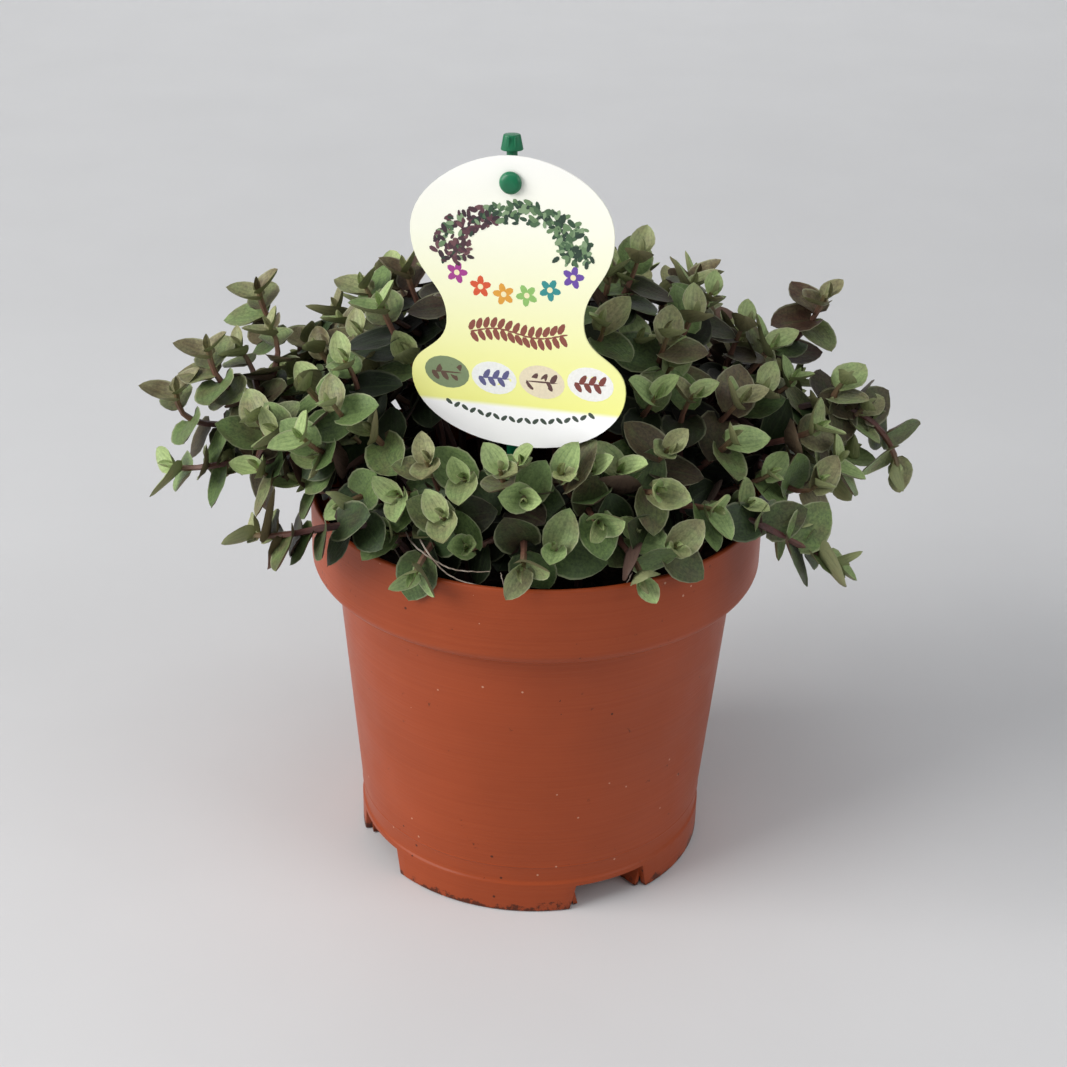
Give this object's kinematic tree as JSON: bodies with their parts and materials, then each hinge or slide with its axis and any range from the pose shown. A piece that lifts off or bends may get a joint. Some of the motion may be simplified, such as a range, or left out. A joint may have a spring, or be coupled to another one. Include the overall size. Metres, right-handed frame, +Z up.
{
  "type": "potted turtle vine",
  "caption": "Bushy small-leaved trailing houseplant in a round tapered nursery pot with a deep collar, with a waisted plant label on a stake.",
  "frame": {"origin": "on the ground plane, below the middle of the whole plant's bounding box; the pot's axis stands 2.4 mm to +X and 18.0 mm to -Y of it", "axes": "+Z up, -Y towards the side with the label, +X to the right of someone who looks at the label"},
  "size_m": [0.2056, 0.1748, 0.208],
  "materials": {
    "terracotta_plastic": "terracotta-coloured moulded polypropylene, satin",
    "peat": "moist crumbly potting soil with fibres and bark",
    "label_card": "printed plastic card, pale to yellow, satin",
    "green_plastic": "moulded green plastic, satin",
    "foliage": "fleshy grey-green leaves, waxy, with purple-brown undersides"
  },
  "bodies": {
    "root": {"pot": "terracotta_plastic", "soil": "peat", "label": "label_card", "stake": "green_plastic", "vine_front_1": "foliage", "vine_front_2": "foliage", "vine_front_3": "foliage", "vine_front_4": "foliage", "vine_front_5": "foliage", "vine_front_6": "foliage", "vine_front_7": "foliage", "vine_front_8": "foliage", "vine_front_9": "foliage", "vine_1_1": "foliage", "vine_1_2": "foliage", "vine_2_1": "foliage", "vine_2_2": "foliage", "vine_2_3": "foliage", "vine_2_4": "foliage", "vine_3_1": "foliage", "vine_3_2": "foliage", "vine_3_3": "foliage", "vine_3_4": "foliage", "vine_3_5": "foliage", "vine_4_1": "foliage", "vine_4_2": "foliage", "vine_4_3": "foliage", "vine_4_4": "foliage", "vine_4_5": "foliage", "vine_4_6": "foliage", "vine_5_1": "foliage", "vine_5_2": "foliage", "vine_5_3": "foliage", "vine_5_4": "foliage", "vine_5_5": "foliage", "runner_left_low": "foliage", "runner_left_mid": "foliage", "runner_left_far": "foliage", "runner_left_rise": "foliage", "runner_left_high": "foliage", "runner_right_low": "foliage", "runner_right_far": "foliage", "runner_right_high": "foliage", "runner_back_left": "foliage", "runner_back_right": "foliage"}
  },
  "joints": []
}
